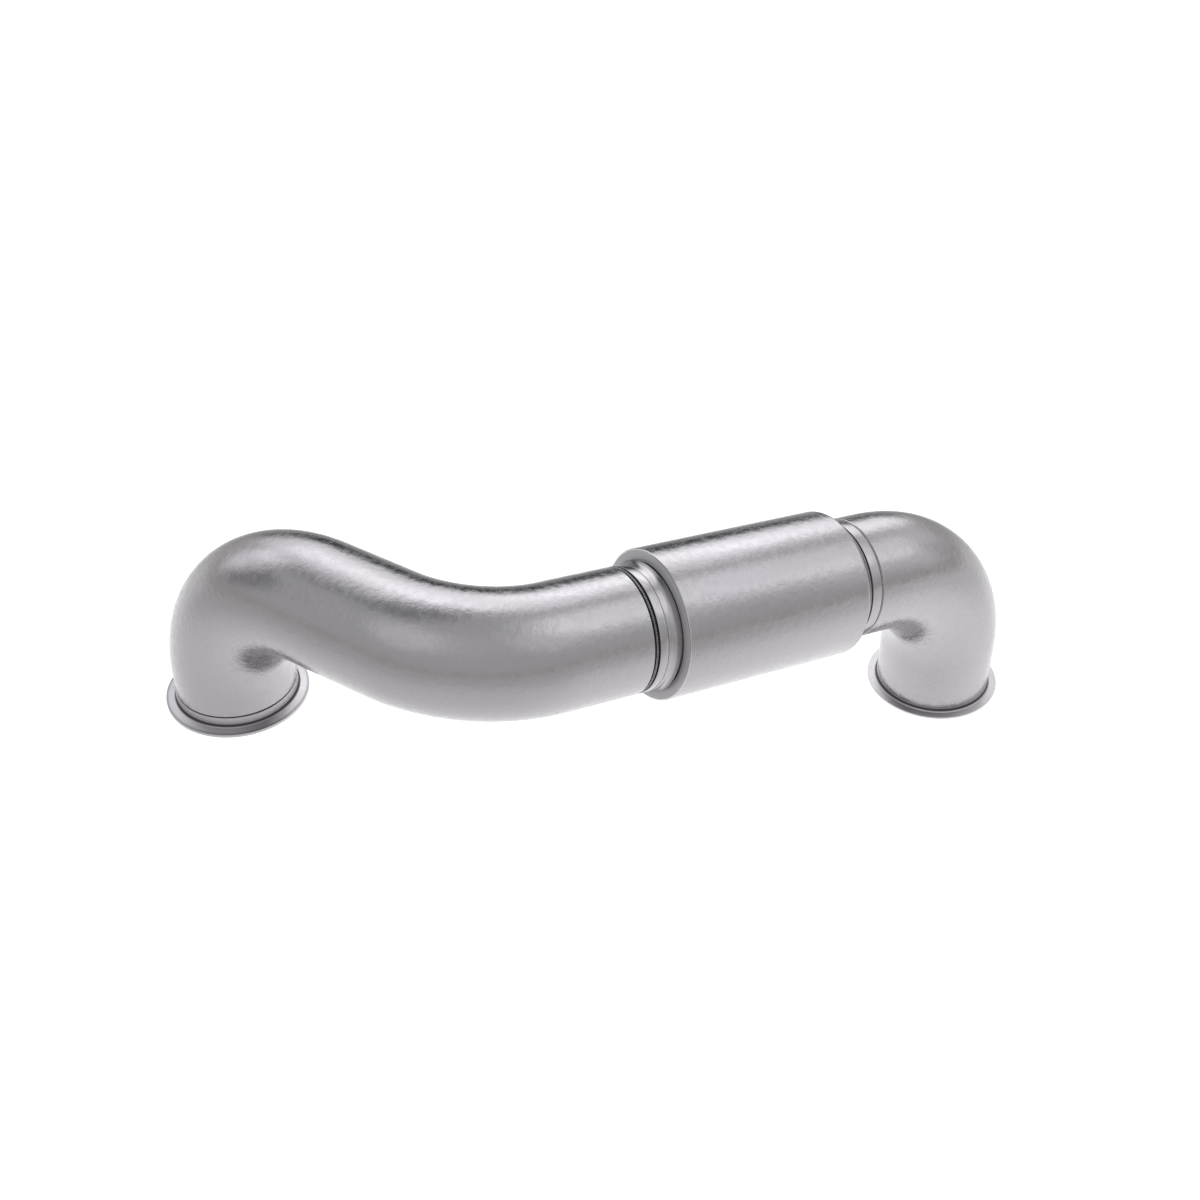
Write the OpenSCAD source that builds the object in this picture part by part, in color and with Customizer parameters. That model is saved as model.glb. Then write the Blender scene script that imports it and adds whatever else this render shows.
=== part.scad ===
// Exhaust pipe: two bent pipes with clamp flanges, joined by a bellows under a smooth cover sleeve.
// Millimetres. The origin is the centre of the inlet flange's sealing face, and +Z runs up into the pipe.
// The bellows' axis heads along +X, and both sealing faces are level.

/* [Pipe] */
// Outside diameter of the pipe
pipe_od = 101.6; // [88:0.1:120]
// Wall of the bent pipes
pipe_wall = 1.65; // [1.5:0.05:2.5]
// Centreline radius of every bend
bend_r = 112; // [90:1:180]

/* [Route] */
// Straight from the inlet face to the first bend
inlet_leg = 30; // [22:1:120]
// Angle of the first bend
bend_1_angle = 90; // [60:1:110]
// Straight between the first and second bends
middle_leg = 70; // [10:1:250]
// Turn of the pipe between the planes of the first and second bends
plane_turn_angle = 80; // [60:1:100]
// Angle of the second bend
bend_2_angle = 64.5; // [30:0.5:90]
// Straight from the second bend to the bellows joint
joint_leg = 62.6; // [10:0.2:200]
// Straight from the bellows joint to the last bend
outlet_run = 25; // [10:1:200]
// Straight from the last bend to the outlet face
outlet_leg = 47.5; // [15:0.5:200]

/* [Inlet flange] */
// How far both flange bores stand in from the pipe's
flange_bore_step = 0.5; // [0.3:0.1:1]
// Height of the rim above the pipe's outside
inlet_rim_rise = 9.3; // [6:0.1:14]
// Thickness of the rim at its edge
inlet_rim_edge = 2.8; // [2:0.1:5]
// Thickness of the rim where the cove meets it
inlet_rim_root = 4.2; // [3:0.1:6]
// Height of the whole flange with its neck
inlet_flange_h = 13.4; // [11:0.1:18]
// How far the neck stands proud of the pipe
inlet_neck_step = 0.7; // [0:0.1:1.5]
// Height of the cove between rim and neck
inlet_cove_h = 3.6; // [2:0.1:4]
// How far the cove spreads out from the neck
inlet_cove_run = 1.6; // [0.8:0.1:2.5]
// Width of the weld between neck and pipe
flange_weld_w = 0.9; // [0.6:0.1:2]

/* [Outlet flange] */
// Height of the rim above the pipe's outside
outlet_rim_rise = 8; // [6:0.1:14]
// Thickness of the rim
outlet_rim_t = 1.8; // [1.5:0.1:3]
// Height of the whole flange with its cove
outlet_flange_h = 6; // [6:0.1:12]
// How far the cove spreads out from the pipe
outlet_cove_run = 1.7; // [0.8:0.1:2.5]

/* [Cover sleeve] */
// Length of the sleeve's straight part
sleeve_len = 176; // [120:1:260]
// Height of the sleeve above the pipe's outside
sleeve_rise = 10.2; // [9.5:0.1:14]
// Wall of the sleeve and its end ring
sleeve_wall = 1.5; // [1:0.1:1.8]
// Length of the drawn-in outlet end
sleeve_nose = 9.6; // [9:0.1:16]
// Width of the weld between the drawn-in end and the cuff
sleeve_weld_w = 2.7; // [2:0.1:4]
// Depth of the end ring inside the sleeve
end_ring_depth = 6.5; // [4:0.5:7]

/* [Bellows joint] */
// Width of the weld groove at the inlet pipe
joint_weld_w = 4.8; // [2:0.1:6]
// Width of the weld groove at the outlet pipe
outlet_weld_w = 2; // [1.5:0.1:4]
// Bare length of the inlet cuff, from its weld to the collar
cuff_bare = 7.6; // [5:0.1:20]
// Bare length of the outlet cuff, from the sleeve to its weld
outlet_cuff_bare = 11.9; // [8:0.1:20]
// Length of the flared collar on the inlet cuff
collar_len = 9.4; // [8:0.1:14]
// Height of the collar's lip above the pipe's outside
collar_rise = 1.9; // [1.5:0.1:2.5]
// Thickness of the collar's flare
collar_t = 1.1; // [0.8:0.1:1.3]
// Gap along the axis between the collar's lip and the sleeve
flex_gap = 3.6; // [3.2:0.1:6]
// Wall of the bellows
bellows_t = 0.6; // [0.4:0.05:0.7]
// Greatest pitch of the convolutions
bellows_pitch = 10.5; // [7:0.5:12]
// Wall of the flow liner
liner_t = 1.2; // [0.8:0.1:2]

/* [Hidden] */
$fn = 96;

// Radii of the pipe
pipe_r = pipe_od / 2;
bore_r = pipe_r - pipe_wall;
flange_bore_r = bore_r - flange_bore_step;

// Broken edges, and how far a cutting shape runs past what it cuts
break_w = 0.4;
cut = 1;

// A bend's wall is a hair thinner on each side than a straight's, and a straight reaches a little into it
bend_thinning = 0.01;
lap = 0.5;

// What the flanges have besides their driving sizes
outlet_rim_fall = 0.1;
outlet_neck_land = 0.2;
outlet_neck_lip = 0.01;

// Share of a weld groove's width that its bead stands high
bead_share = 0.23;

// Rings of the bellows joint, from the bore outwards
cuff_t = 1;
cuff_step = 1.25;
neck_fit = 0.05;
seat_r = pipe_r - cuff_step;
cuff_bore_r = seat_r - cuff_t;
neck_r = seat_r + neck_fit;
neck_outer_r = neck_r + bellows_t;
band_t = 1.2;
liner_gap = 0.95;
crest_gap = 1.8;
sleeve_r = pipe_r + sleeve_rise;
sleeve_bore_r = sleeve_r - sleeve_wall;
crest_r = sleeve_bore_r - crest_gap;
ring_gap = 0.8;
ring_bore_r = neck_outer_r + ring_gap;

// How far some edges stand from their neighbours along the axis
neck_inset = 3;
seat_clear = 1;
seat_len = 7;
nose_clear = 8;
bore_step_s = 4;
bore_step_len = 2;
taper_clear = 2;
taper_len = 4;
liner_short = 5.5;

// Places along the bellows' axis, from the end of the inlet pipe
cuff_s = joint_weld_w;
collar_s = cuff_s + cuff_bare;
collar_end = collar_s + collar_len;
sleeve_s = collar_end + flex_gap;
shoulder_s = sleeve_s + sleeve_len;
nose_s = shoulder_s + sleeve_nose;
outlet_cuff_end = nose_s + outlet_cuff_bare;
joint_len = outlet_cuff_end + outlet_weld_w;
neck_start = collar_s + neck_inset;
live_start = sleeve_s + end_ring_depth;
seat_end = live_start - seat_clear;
live_end = shoulder_s - nose_clear;
convolutions = floor((live_end - live_start) / bellows_pitch);
pitch = (live_end - live_start) / convolutions;
outlet_seat_s = live_end + seat_clear;
outlet_seat_end = outlet_seat_s + seat_len;
liner_fixed_s = cuff_s + bore_step_s + bore_step_len;
taper_s = seat_end - taper_clear;
liner_end = nose_s - liner_short;

// Frames along the route, each with its +Z along the flow
function feed(m, l) = m * [[1, 0, 0, 0], [0, 1, 0, 0], [0, 0, 1, l], [0, 0, 0, 1]];
function turn(m, a) = m * [[cos(a), -sin(a), 0, 0], [sin(a), cos(a), 0, 0], [0, 0, 1, 0], [0, 0, 0, 1]];
// A bend goes towards its frame's own +X
function bend(m, a) = m * [
    [cos(a), 0, sin(a), bend_r * (1 - cos(a))],
    [0, 1, 0, 0],
    [-sin(a), 0, cos(a), bend_r * sin(a)],
    [0, 0, 0, 1]
];
function to_second_bend(m) = turn(feed(bend(feed(m, inlet_leg), bend_1_angle), middle_leg), plane_turn_angle);
function to_joint(m) = feed(bend(to_second_bend(m), bend_2_angle), joint_leg);

// The start is turned so that the bellows' axis heads along +X
level = [[1, 0, 0, 0], [0, 1, 0, 0], [0, 0, 1, 0], [0, 0, 0, 1]];
unturned = to_joint(level);
start = turn(level, -atan2(unturned[1][2], unturned[0][2]));
joint = to_joint(start);
// The last bend turns straight down, whatever the dip of the bellows' axis
after_joint = turn(feed(joint, joint_len), atan2(-joint[2][1], -joint[2][0]));
last_bend = feed(after_joint, outlet_run);
bend_3_angle = acos(-joint[2][2]);
last_leg = bend(last_bend, bend_3_angle);

// Points on an arc, from one angle to another
function arc(x, y, r, from, to, steps) =
    [for (i = [0 : steps]) let (a = from + (to - from) * i / steps) [x + r * cos(a), y + r * sin(a)]];

// A straight pipe, whose ends reach a little into the bends before and after it
module straight(l, before, after) {
    translate([0, 0, -before])
        difference() {
            cylinder(r = pipe_r, h = before + l + after);
            translate([0, 0, -cut]) cylinder(r = bore_r, h = before + l + after + 2 * cut);
        }
}

// A bent pipe that goes towards +X, its wall thinned a hair by the bending
module elbow(a) {
    translate([bend_r, 0, 0])
        rotate([90, 0, 180])
            rotate_extrude(angle = a)
                translate([bend_r, 0])
                    difference() {
                        circle(r = pipe_r - bend_thinning);
                        circle(r = bore_r + bend_thinning);
                    }
}

// What follows a straight of length l, or a bend of angle a
module after_straight(l) {
    translate([0, 0, l]) children();
}

module after_bend(a) {
    translate([bend_r, 0, 0]) rotate([0, a, 0]) translate([-bend_r, 0, 0]) children();
}

// A clamp flange: level face, conical back, and a cove that runs into the neck
module clamp_flange(rim_r, edge_t, root_t, root_r, outer_neck_r, cove_h, height, lip) {
    run = root_r - outer_neck_r;
    cove_r = (run * run + cove_h * cove_h) / (2 * run);
    sweep = 2 * atan(run / cove_h);
    rotate_extrude()
        polygon(concat(
            [[flange_bore_r, 0], [rim_r - break_w, 0], [rim_r, break_w]],
            [[rim_r, edge_t - break_w], [rim_r - break_w, edge_t]],
            arc(outer_neck_r + cove_r, root_t + cove_h, cove_r, 180 + sweep, 180, 8),
            [[outer_neck_r, height - lip], [outer_neck_r - lip, height], [flange_bore_r, height]]
        ));
}

// A weld that fills a groove and stands up in it as a round bead
module groove_weld(s, w) {
    bead_r = w * bead_share;
    root_r = pipe_r - bead_r;
    multmatrix(joint)
        rotate_extrude()
            polygon(concat(
                [[bore_r, s], [root_r, s]],
                arc(root_r, s + w / 2, bead_r, -90, 90, 8),
                [[root_r, s + w], [bore_r, s + w]]
            ));
}

// One side of the bellows' wall, from neck to neck; side is 1 outside and -1 inside
function wall_side(side) =
    let (
        h = side * bellows_t / 2,
        fold_r = pitch / 4,
        root_r = neck_r + bellows_t / 2 + fold_r,
        top_r = crest_r - bellows_t / 2 - fold_r
    )
    concat(
        [[root_r - fold_r + h, neck_start]],
        [for (i = [0 : convolutions - 1]) let (s = live_start + i * pitch) each concat(
            arc(root_r, s, fold_r - h, 180, 90, 3),
            arc(top_r, s + pitch / 2, fold_r + h, -90, 90, 6),
            arc(root_r, s + pitch, fold_r - h, 270, 180, 3)
        )],
        [[root_r - fold_r + h, outlet_seat_end]]
    );

module inlet_flange() {
    color("silver")
        multmatrix(start)
            clamp_flange(
                pipe_r + inlet_rim_rise, inlet_rim_edge, inlet_rim_root,
                pipe_r + inlet_neck_step + inlet_cove_run, pipe_r + inlet_neck_step,
                inlet_cove_h, inlet_flange_h, break_w
            );
}

module inlet_flange_weld() {
    color("dimgray")
        multmatrix(feed(start, inlet_flange_h))
            difference() {
                cylinder(r = pipe_r - break_w, h = flange_weld_w);
                translate([0, 0, -cut]) cylinder(r = bore_r, h = flange_weld_w + 2 * cut);
            }
}

module inlet_pipe() {
    pipe_start = inlet_flange_h + flange_weld_w;
    first_len = inlet_leg - pipe_start;
    color("lightgray")
        multmatrix(feed(start, pipe_start)) {
            straight(first_len, 0, lap);
            after_straight(first_len) {
                elbow(bend_1_angle);
                after_bend(bend_1_angle) {
                    straight(middle_leg, lap, lap);
                    after_straight(middle_leg)
                        rotate([0, 0, plane_turn_angle]) {
                            elbow(bend_2_angle);
                            after_bend(bend_2_angle) straight(joint_leg, lap, 0);
                        }
                }
            }
        }
}

module inlet_joint_weld() {
    color("dimgray") groove_weld(0, joint_weld_w);
}

// The cuff is drawn down inside the bellows' neck, and the flow liner is welded into it
module inlet_cuff() {
    color("silver")
        multmatrix(joint)
            rotate_extrude()
                polygon([
                    [bore_r, cuff_s],
                    [pipe_r - break_w, cuff_s],
                    [pipe_r, cuff_s + break_w],
                    [pipe_r, collar_s],
                    [seat_r, collar_s],
                    [seat_r, seat_end],
                    [cuff_bore_r, seat_end],
                    [cuff_bore_r, liner_fixed_s],
                    [bore_r, liner_fixed_s - bore_step_len]
                ]);
}

// The collar holds the neck on the cuff, and its flare stands just clear of the sleeve
module flared_collar() {
    flat_len = 2.6;
    run = collar_len - flat_len;
    flare_r = (run * run + collar_rise * collar_rise) / (2 * collar_rise);
    sweep = 2 * atan(collar_rise / run);
    rim_sweep = asin(run / (flare_r + collar_t));
    neck_sweep = acos((flare_r + pipe_r - neck_outer_r) / (flare_r + collar_t));
    axis_r = pipe_r + flare_r;
    flare_s = collar_s + flat_len;
    color("silver")
        multmatrix(joint)
            rotate_extrude()
                polygon(concat(
                    [[seat_r, neck_start], [seat_r, collar_s], [pipe_r, collar_s]],
                    arc(axis_r, flare_s, flare_r, 180, 180 - sweep, 8),
                    arc(axis_r, flare_s, flare_r + collar_t, 180 - rim_sweep, 180 - neck_sweep, 4),
                    [[neck_outer_r, neck_start]]
                ));
}

// The liner keeps the gas off the bellows; its far end slides free in the outlet cuff
module flow_liner() {
    free_r = cuff_bore_r - liner_gap;
    color("gainsboro")
        multmatrix(joint)
            rotate_extrude()
                polygon([
                    [cuff_bore_r - liner_t, liner_fixed_s],
                    [cuff_bore_r, liner_fixed_s],
                    [cuff_bore_r, taper_s],
                    [free_r, taper_s + taper_len],
                    [free_r, liner_end],
                    [free_r - liner_t, liner_end],
                    [free_r - liner_t, taper_s + taper_len],
                    [cuff_bore_r - liner_t, taper_s]
                ]);
}

module bellows() {
    outside = wall_side(1);
    inside = wall_side(-1);
    last = len(inside) - 1;
    color("lightsteelblue")
        multmatrix(joint)
            rotate_extrude()
                polygon(concat(outside, [for (i = [0 : last]) inside[last - i]]));
}

module outlet_band() {
    band_len = seat_len - seat_clear;
    band_bore_r = neck_outer_r + neck_fit;
    color("silver")
        multmatrix(feed(joint, outlet_seat_s))
            difference() {
                cylinder(r = band_bore_r + band_t, h = band_len);
                translate([0, 0, -cut]) cylinder(r = band_bore_r, h = band_len + 2 * cut);
            }
}

// A pressed ring with its face level with the sleeve's end
module cover_end_ring() {
    fillet = 1;
    inner_r = sleeve_bore_r - sleeve_wall;
    color("silver")
        multmatrix(joint)
            rotate_extrude()
                polygon([
                    [ring_bore_r, sleeve_s],
                    [sleeve_bore_r, sleeve_s],
                    [sleeve_bore_r, sleeve_s + end_ring_depth],
                    [inner_r, sleeve_s + end_ring_depth],
                    [inner_r, sleeve_s + sleeve_wall + fillet],
                    [inner_r - fillet, sleeve_s + sleeve_wall],
                    [ring_bore_r, sleeve_s + sleeve_wall]
                ]);
}

// The sleeve's outlet end is drawn in to a land that is welded to the cuff
module cover_sleeve() {
    land_len = 1.1;
    shoulder_r = 4;
    edge_r = 0.6 * sleeve_wall;
    cone_run = sleeve_nose - land_len;
    cone_drop = sleeve_rise - sleeve_wall;
    slope = atan(cone_drop / cone_run);
    tangent = shoulder_r * tan(slope / 2);
    color("lightgray")
        multmatrix(joint)
            rotate_extrude()
                polygon(concat(
                    [[sleeve_bore_r, sleeve_s]],
                    arc(sleeve_r - edge_r, sleeve_s + edge_r, edge_r, -90, 0, 4),
                    arc(sleeve_r - shoulder_r, shoulder_s - tangent, shoulder_r, 0, slope, 6),
                    [[pipe_r + sleeve_wall, nose_s - land_len], [pipe_r + sleeve_wall, nose_s]],
                    [[pipe_r, nose_s], [pipe_r, nose_s - land_len - tangent / 2]],
                    [[sleeve_bore_r, shoulder_s - tangent]]
                ));
}

// A fillet in the corner between the sleeve's drawn-in end and the cuff
module sleeve_weld() {
    top = sleeve_wall - 0.1;
    color("dimgray")
        multmatrix(joint)
            rotate_extrude()
                polygon([
                    [pipe_r, nose_s],
                    [pipe_r + top, nose_s],
                    [pipe_r + 0.65 * top, nose_s + 0.45 * sleeve_weld_w],
                    [pipe_r, nose_s + sleeve_weld_w]
                ]);
}

module outlet_cuff() {
    color("silver")
        multmatrix(joint)
            rotate_extrude()
                polygon([
                    [cuff_bore_r, outlet_seat_s],
                    [seat_r, outlet_seat_s],
                    [seat_r, outlet_seat_end + seat_clear],
                    [pipe_r, outlet_seat_end + seat_clear],
                    [pipe_r, outlet_cuff_end - break_w],
                    [pipe_r - break_w, outlet_cuff_end],
                    [bore_r, outlet_cuff_end],
                    [bore_r, outlet_cuff_end - bore_step_s],
                    [cuff_bore_r, outlet_cuff_end - bore_step_s - bore_step_len]
                ]);
}

module outlet_joint_weld() {
    color("dimgray") groove_weld(outlet_cuff_end, outlet_weld_w);
}

module outlet_pipe() {
    color("lightgray")
        multmatrix(after_joint) {
            straight(outlet_run, 0, lap);
            after_straight(outlet_run) {
                elbow(bend_3_angle);
                after_bend(bend_3_angle) straight(outlet_leg - outlet_flange_h, lap, 0);
            }
        }
}

// The outlet flange faces the other way, so it is turned over
module outlet_flange() {
    color("silver")
        multmatrix(feed(last_leg, outlet_leg))
            rotate([180, 0, 0])
                clamp_flange(
                    pipe_r + outlet_rim_rise, outlet_rim_t - outlet_rim_fall, outlet_rim_t,
                    pipe_r + outlet_cove_run, pipe_r,
                    outlet_flange_h - outlet_rim_t - outlet_neck_land, outlet_flange_h, outlet_neck_lip
                );
}

inlet_flange();
inlet_flange_weld();
inlet_pipe();
inlet_joint_weld();
inlet_cuff();
flared_collar();
flow_liner();
bellows();
outlet_band();
cover_end_ring();
cover_sleeve();
sleeve_weld();
outlet_cuff();
outlet_joint_weld();
outlet_pipe();
outlet_flange();
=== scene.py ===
import math

import bpy
import numpy as np
from mathutils import Matrix, Vector


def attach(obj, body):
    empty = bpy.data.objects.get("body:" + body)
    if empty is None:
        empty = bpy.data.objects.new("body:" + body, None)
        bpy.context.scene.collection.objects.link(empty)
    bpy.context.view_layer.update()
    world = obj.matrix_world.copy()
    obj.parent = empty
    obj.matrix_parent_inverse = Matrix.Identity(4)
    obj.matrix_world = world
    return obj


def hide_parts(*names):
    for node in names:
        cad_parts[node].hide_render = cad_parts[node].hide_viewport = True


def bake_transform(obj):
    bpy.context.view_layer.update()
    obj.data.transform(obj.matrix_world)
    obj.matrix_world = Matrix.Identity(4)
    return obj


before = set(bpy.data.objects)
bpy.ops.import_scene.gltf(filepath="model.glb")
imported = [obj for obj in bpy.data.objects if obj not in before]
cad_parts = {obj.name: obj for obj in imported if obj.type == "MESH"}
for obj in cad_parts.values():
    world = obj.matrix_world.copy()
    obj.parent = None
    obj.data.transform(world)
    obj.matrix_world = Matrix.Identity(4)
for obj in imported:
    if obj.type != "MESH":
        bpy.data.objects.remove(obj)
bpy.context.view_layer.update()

mm = 0.001

# The route's sizes in millimetres and degrees, the same as the solids'
route = {"outer": 50.8, "bore": 49.15, "bend": 112.0, "inletLeg": 30.0, "bendOne": 90.0,
         "middleLeg": 70.0, "planeTurn": 80.0, "bendTwo": 64.5, "jointLeg": 62.6,
         "outletRun": 25.0, "outletLeg": 47.5}

# The bellows joint's sizes, and the heights they give along its axis from the inlet pipe's end
flex = {"weld": 4.8, "cuffBare": 7.6, "seam": 0.2, "collar": 9.4, "collarFlat": 2.6, "collarRise": 1.9,
        "collarWall": 1.1, "gap": 3.6, "sleeve": 176.0, "sleeveRise": 10.2, "wall": 1.5, "lip": 0.6,
        "ringDepth": 6.5, "ringBore": 51.0, "ringChamfer": 1.0, "shoulder": 4.0, "nose": 9.6, "noseLand": 1.1,
        "sleeveWeld": 2.7, "outletCuff": 11.9, "outletWeld": 2.0, "cuffStep": 1.25, "cuffWall": 1.0, "cuffTaper": 2.0,
        "cuffLap": 1.0, "neck": 49.6, "neckLap": 3.0, "neckEnd": 8.0, "bellowsWall": 0.6, "seatShort": 1.0,
        "liner": 1.2, "linerGap": 0.95, "linerInset": 6.0, "linerTaper": 2.0, "linerShort": 5.5,
        "folds": 15, "foldsShort": 8.0, "crestGap": 1.8, "bandGap": 0.05, "bandWall": 1.2, "bandShort": 1.0}
collarStart = flex["weld"] + flex["cuffBare"]
collarEnd = collarStart + flex["collar"]
sleeveStart = collarEnd + flex["gap"]
shoulderStart = sleeveStart + flex["sleeve"]
noseEnd = shoulderStart + flex["nose"]
outletCuffEnd = noseEnd + flex["outletCuff"]
jointLength = outletCuffEnd + flex["outletWeld"]
foldsStart, foldsEnd = sleeveStart + flex["ringDepth"], shoulderStart - flex["foldsShort"]
seatEnd, outletSeat = foldsStart - flex["seatShort"], foldsEnd + flex["seatShort"]
outletSeatEnd = foldsEnd + flex["neckEnd"]


# Frames along the route, each with its +Z along the flow
def feed(m, length):
    step = np.eye(4)
    step[2, 3] = length
    return m @ step


def turn(m, degrees):
    a = math.radians(degrees)
    step = np.eye(4)
    step[:2, :2] = [[math.cos(a), -math.sin(a)], [math.sin(a), math.cos(a)]]
    return m @ step


def bend(m, degrees):
    a = math.radians(degrees)
    step = np.eye(4)
    step[0] = [math.cos(a), 0, math.sin(a), route["bend"] * (1 - math.cos(a))]
    step[2] = [-math.sin(a), 0, math.cos(a), route["bend"] * math.sin(a)]
    return m @ step


def toJoint(m):
    m = feed(bend(feed(m, route["inletLeg"]), route["bendOne"]), route["middleLeg"])
    return feed(bend(turn(m, route["planeTurn"]), route["bendTwo"]), route["jointLeg"])


def faced(m):
    # The frame turned over, as the outlet flange is
    return m @ np.diag([1.0, -1.0, -1.0, 1.0])


def inMetres(m):
    place = np.array(m, float)
    place[:3, 3] *= mm
    return place


unturned = toJoint(np.eye(4))
start = turn(np.eye(4), -math.degrees(math.atan2(unturned[1, 2], unturned[0, 2])))
joint = toJoint(start)
jointEnd = feed(joint, jointLength)
afterJoint = turn(jointEnd, math.degrees(math.atan2(-joint[2, 1], -joint[2, 0])))
bendThree = math.degrees(math.acos(-joint[2, 2]))
outletFace = feed(bend(feed(afterJoint, route["outletRun"]), bendThree), route["outletLeg"])


# Outlines of (radius, height) points in millimetres
def arc(x, y, r, first, last, steps=12):
    angles = [math.radians(first + (last - first) * i / steps) for i in range(steps + 1)]
    return [(x + r * math.cos(a), y + r * math.sin(a)) for a in angles]


corner = {"steps": 3, "flat": math.radians(160), "edgeShare": 0.4}  # wider corners than flat stay as they are


def eased(outline, radius):
    # The closed outline with each corner rounded by at most radius
    done, count = [], len(outline)
    for i in range(count):
        before, p, after = (np.array(outline[(i + k) % count], float) for k in (-1, 0, 1))
        a, b = before - p, after - p
        reachA, reachB = np.linalg.norm(a), np.linalg.norm(b)
        a, b = a / reachA, b / reachB
        angle = math.acos(max(-1.0, min(1.0, float(a @ b))))
        if angle > corner["flat"]:
            done.append(tuple(p))
            continue
        reach = min(radius / math.tan(angle / 2), corner["edgeShare"] * reachA, corner["edgeShare"] * reachB)
        for k in range(corner["steps"] + 1):
            t = k / corner["steps"]
            done.append(tuple((1 - t) ** 2 * (p + a * reach) + 2 * t * (1 - t) * p + t ** 2 * (p + b * reach)))
    return done


# Meshes
mesh = {"around": 240, "ringSpacing": 3.0, "sharp": math.radians(35)}


def makeMesh(name, points, faces):
    data = bpy.data.meshes.new(name)
    data.from_pydata([tuple(p) for p in np.asarray(points) * mm], [], faces)
    data.update()
    data.shade_smooth()
    data.set_sharp_from_angle(angle=mesh["sharp"])
    obj = bpy.data.objects.new(name, data)
    bpy.context.scene.collection.objects.link(obj)
    return obj


def turned(name, outline, m, around=mesh["around"]):
    # A closed outline turned round the frame's axis
    area = sum(a[0] * b[1] - b[0] * a[1] for a, b in zip(outline, outline[1:] + outline[:1]))
    if area < 0:
        outline = outline[::-1]
    angles = np.linspace(0, 2 * math.pi, around, endpoint=False)
    r, z = np.array(outline, float).T
    local = np.stack([np.outer(np.cos(angles), r), np.outer(np.sin(angles), r),
                      np.tile(z, (around, 1)), np.ones((around, len(r)))], -1)
    n = len(outline)
    faces = []
    for i in range(around):
        j = (i + 1) % around
        for k in range(n):
            q = (k + 1) % n
            faces.append((i * n + k, j * n + k, j * n + q, i * n + q))
    return makeMesh(name, (local.reshape(-1, 4) @ m.T)[:, :3], faces)


def stations(m, steps):
    # The frames that a tube's rings sit in, none twisted against the next
    found, twist = [m], 0
    for kind, size in steps:
        if kind == "turn":
            m, twist = turn(m, size), twist + size
            continue
        length = size if kind == "feed" else math.radians(size) * route["bend"]
        count = max(1, round(length / mesh["ringSpacing"]))
        base = m
        for i in range(1, count + 1):
            m = (feed if kind == "feed" else bend)(base, size * i / count)
            found.append(turn(m, -twist))
    return found


def tube(name, rings, soften=0.5):
    # The pipe's wall along the rings, with closed ends whose outer edges are softened
    rings = [rings[0], feed(rings[0], soften), *rings[1:-1], feed(rings[-1], -soften), rings[-1]]
    around, count = mesh["around"], len(rings)
    angles = np.linspace(0, 2 * math.pi, around, endpoint=False)
    circle = np.stack([np.cos(angles), np.sin(angles), np.zeros(around), np.ones(around)], -1)
    outside = [route["outer"] - soften if i in (0, count - 1) else route["outer"] for i in range(count)]
    points, faces = [], []
    for m, radius in zip(rings + rings, outside + [route["bore"]] * count):
        points.append((circle * [radius, radius, 1, 1] @ m.T)[:, :3])

    def quad(a, b, i):
        j = (i + 1) % around
        faces.append((a * around + i, a * around + j, b * around + j, b * around + i))

    for i in range(around):
        for k in range(count - 1):
            quad(k, k + 1, i)
            quad(count + k + 1, count + k, i)
        quad(count, 0, i)
        quad(count - 1, 2 * count - 1, i)
    return makeMesh(name, np.concatenate(points), faces)


def dress(obj, body, slot, nodes, *materials):
    for material in materials:
        obj.data.materials.append(material)
    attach(obj, body)
    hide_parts(*nodes)
    return obj


# Node helpers
def addNode(tree, kind, values=None, **settings):
    node = tree.nodes.new(kind)
    for key, value in settings.items():
        setattr(node, key, value)
    for key, value in (values or {}).items():
        if isinstance(value, bpy.types.NodeSocket):
            tree.links.new(value, node.inputs[key])
        else:
            node.inputs[key].default_value = value
    return node


def shaderGroup(name, inputs, outputs):
    tree = bpy.data.node_groups.new(name, "ShaderNodeTree")
    for label, kind, value in inputs:
        socket = tree.interface.new_socket(name=label, in_out="INPUT", socket_type=kind)
        if value is not None:
            socket.default_value = value
    for label, kind in outputs:
        tree.interface.new_socket(name=label, in_out="OUTPUT", socket_type=kind)
    return tree, tree.nodes.new("NodeGroupInput"), tree.nodes.new("NodeGroupOutput")


def fill(tree, group, values):
    return addNode(tree, "ShaderNodeGroup", values, node_tree=group)


def calc(tree, operation, *values, clamp=False):
    return addNode(tree, "ShaderNodeMath", dict(enumerate(values)), operation=operation, use_clamp=clamp).outputs[0]


def vectorCalc(tree, operation, *values):
    node = addNode(tree, "ShaderNodeVectorMath", dict(enumerate(values)), operation=operation)
    return node.outputs["Value" if operation in ("DOT_PRODUCT", "DISTANCE", "LENGTH") else "Vector"]


def rangeMap(tree, value, low, high, toLow=0.0, toHigh=1.0):
    return addNode(tree, "ShaderNodeMapRange", {"Value": value, "From Min": low, "From Max": high,
                                                "To Min": toLow, "To Max": toHigh},
                   interpolation_type="SMOOTHSTEP").outputs["Result"]


def newMaterial(name):
    material = bpy.data.materials.new(name)
    material.use_nodes = True
    material.node_tree.nodes.clear()
    return material, material.node_tree, addNode(material.node_tree, "ShaderNodeOutputMaterial")


# Shared looks: the cloudy satin of pickled stainless steel
haze = {"warp": 0.004, "warpDetail": 2.0, "cloudDetail": 3.0, "cloudRoughness": 0.55, "lacunarity": 2.1,
        "speckDetail": 3.0, "speckRoughness": 0.7, "clouds": (0.35, 0.68), "frost": (0.55, 0.68),
        "frostHeight": 0.02}


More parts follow.
